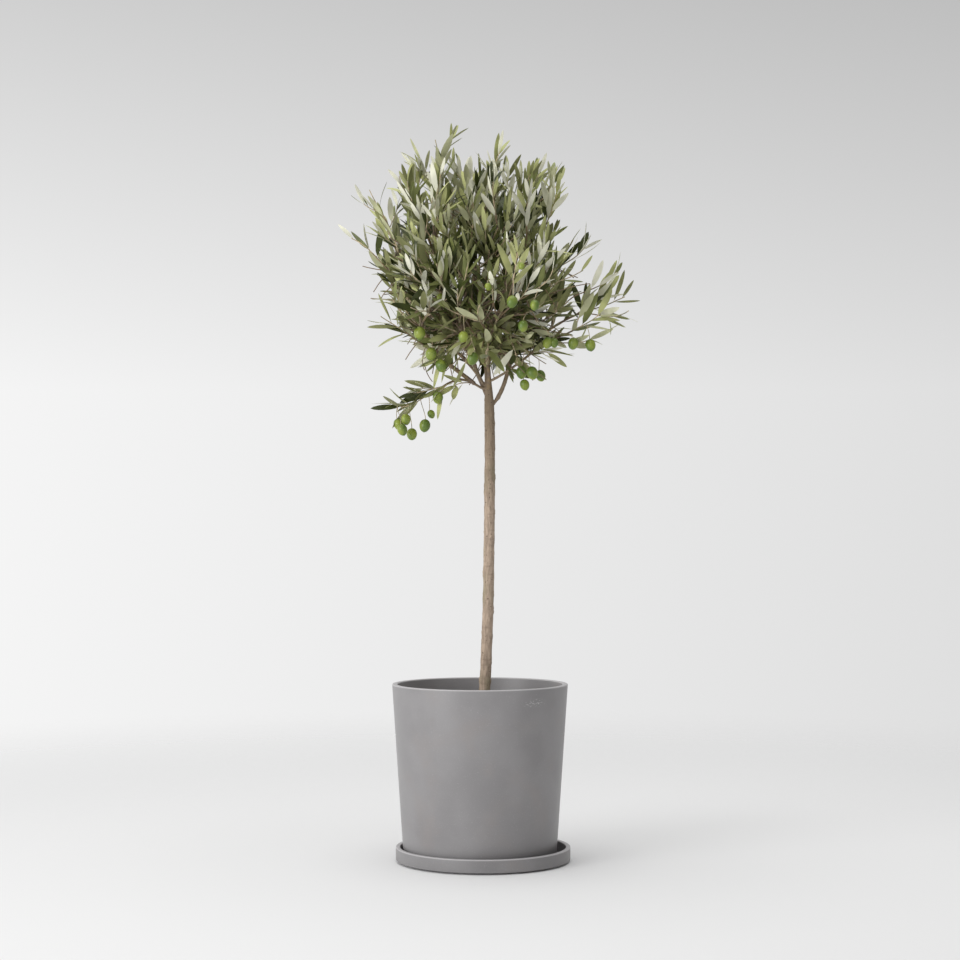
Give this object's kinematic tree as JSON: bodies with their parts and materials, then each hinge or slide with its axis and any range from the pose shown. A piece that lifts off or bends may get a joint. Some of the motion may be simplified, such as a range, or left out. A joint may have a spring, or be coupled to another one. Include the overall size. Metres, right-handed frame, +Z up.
{
  "type": "potted olive tree",
  "caption": "Young standard olive tree with a clear stem and a round, airy crown, in a tapered grey stoneware planter that stands in a shallow saucer.",
  "frame": {"origin": "on the flat underside of the saucer, on the planter's axis", "axes": "+Z up along the stem; +X to the right and +Y to the back when the tree is seen from the front, with the low hanging spray of olives on the left"},
  "size_m": [0.5413, 0.4323, 1.3251],
  "materials": {
    "stoneware": "matte grey fired stoneware, faintly mottled",
    "compost": "dark loose potting compost",
    "bark": "smooth grey-brown young bark with small knots and pits",
    "foliage": "narrow grey-green leaves, dark above and silvery below"
  },
  "bodies": {
    "root": {"bough_back": "bark", "bough_left": "bark", "bough_right": "bark", "branch_low_left": "bark", "branch_low_right": "bark", "heart_high": "foliage", "heart_low": "foliage", "planter": "stoneware", "saucer": "stoneware", "shoulder_back_left": "foliage", "shoulder_back_right": "foliage", "shoulder_front_left": "foliage", "shoulder_front_right": "foliage", "shoulder_right": "foliage", "skirt_back_left": "foliage", "skirt_back_right": "foliage", "skirt_front_left": "foliage", "skirt_front_right": "foliage", "skirt_right": "foliage", "soil": "compost", "spire_left": "foliage", "spire_middle": "foliage", "spire_right": "foliage", "spray_left": "foliage", "spray_low_left": "foliage", "spray_low_right": "foliage", "spray_right": "foliage", "trunk": "bark", "waist_back_left": "foliage", "waist_back_right": "foliage", "waist_front_left": "foliage", "waist_front_right": "foliage", "waist_left": "foliage", "waist_right": "foliage"}
  },
  "joints": []
}
